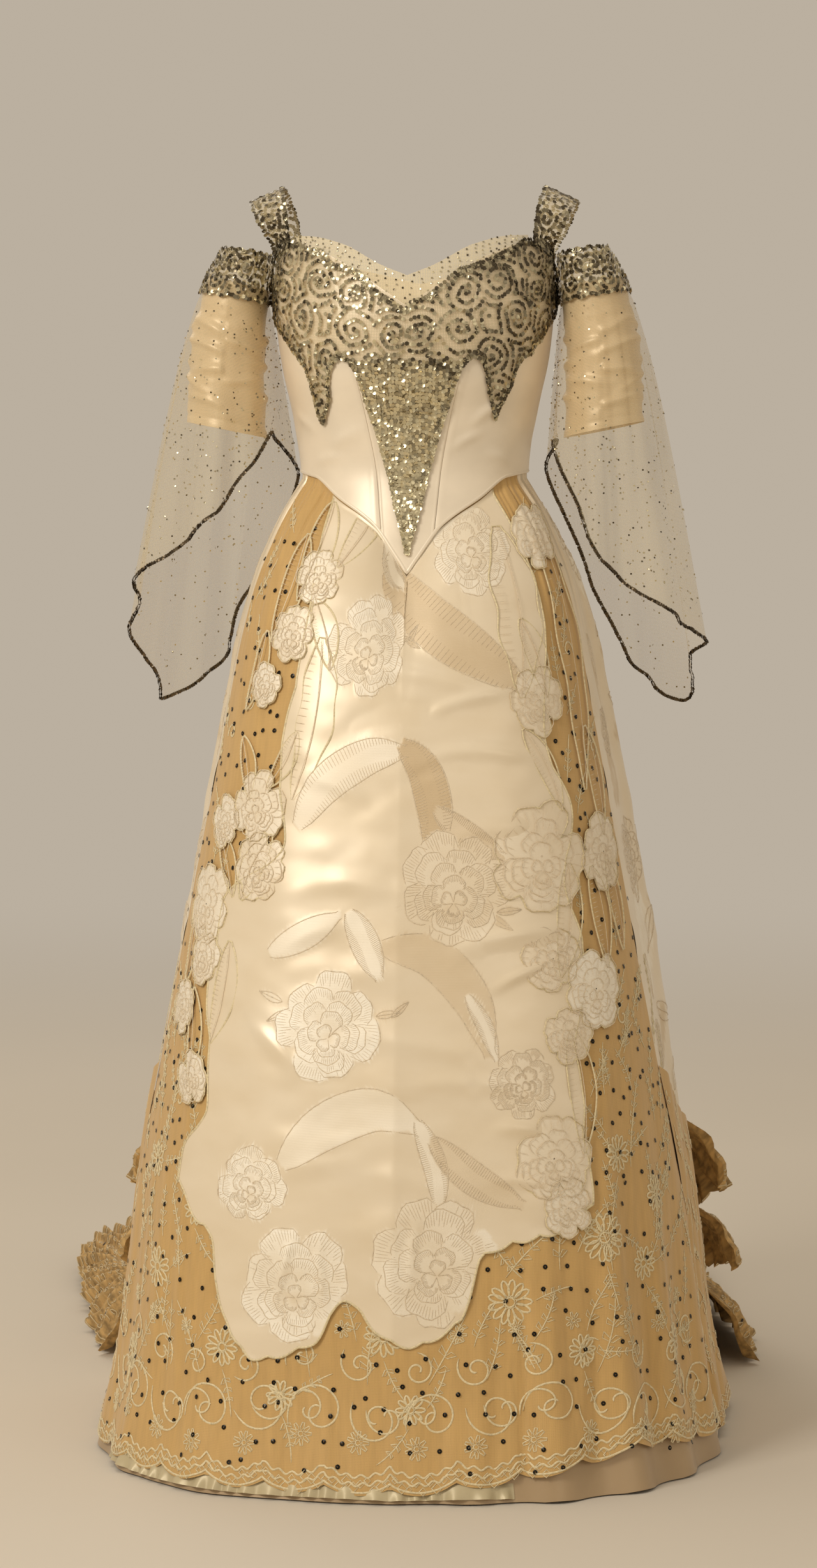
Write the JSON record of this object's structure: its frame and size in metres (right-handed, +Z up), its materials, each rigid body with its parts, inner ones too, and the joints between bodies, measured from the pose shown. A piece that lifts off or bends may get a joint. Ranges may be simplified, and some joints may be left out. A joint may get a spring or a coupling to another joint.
{
  "type": "ball gown",
  "caption": "Hollow worn evening gown with a pointed bodice, off-shoulder sleeves with hanging net, a brocade skirt over net and a trailing back with lace tiers.",
  "frame": {"origin": "where the gown is held: midway between the crowns of its two shoulder straps", "axes": "+Z up, -Y towards the front of the gown, +X towards the viewer's right; the train runs along +Y"},
  "size_m": [0.9186, 1.6747, 1.4057],
  "materials": {
    "ivory_satin": "satin",
    "ivory_brocade": "satin with woven roses",
    "gold_satin": "satin",
    "embroidered_net": "matte net with embroidery and sequins",
    "spangled_net": "sheer net with spangles",
    "neckline_tulle": "sheer net with spangles",
    "sequin_lace": "glossy sequins on net",
    "train_lace": "matte lace"
  },
  "bodies": {
    "root": {"bodice_front_centre": "ivory_satin", "bodice_front_left": "ivory_satin", "bodice_front_right": "ivory_satin", "bodice_back_left": "ivory_satin", "bodice_back_right": "ivory_satin", "neckline_tulle": "neckline_tulle", "sequin_lace_front": "sequin_lace", "sequin_lace_back": "sequin_lace", "strap_left": "sequin_lace", "strap_right": "sequin_lace", "arm_band_left": "sequin_lace", "arm_band_right": "sequin_lace", "sleeve_satin_left": "gold_satin", "sleeve_satin_right": "gold_satin", "sleeve_net_left": "spangled_net", "sleeve_net_right": "spangled_net", "skirt_front_brocade": "ivory_brocade", "skirt_net": "embroidered_net", "underskirt": "gold_satin", "skirt_back_left": "ivory_brocade", "skirt_back_right": "ivory_brocade", "train_lace_upper_left": "train_lace", "train_lace_upper_right": "train_lace", "train_lace_middle_left": "train_lace", "train_lace_middle_right": "train_lace", "train_lace_lower_left": "train_lace", "train_lace_lower_right": "train_lace"}
  },
  "joints": []
}
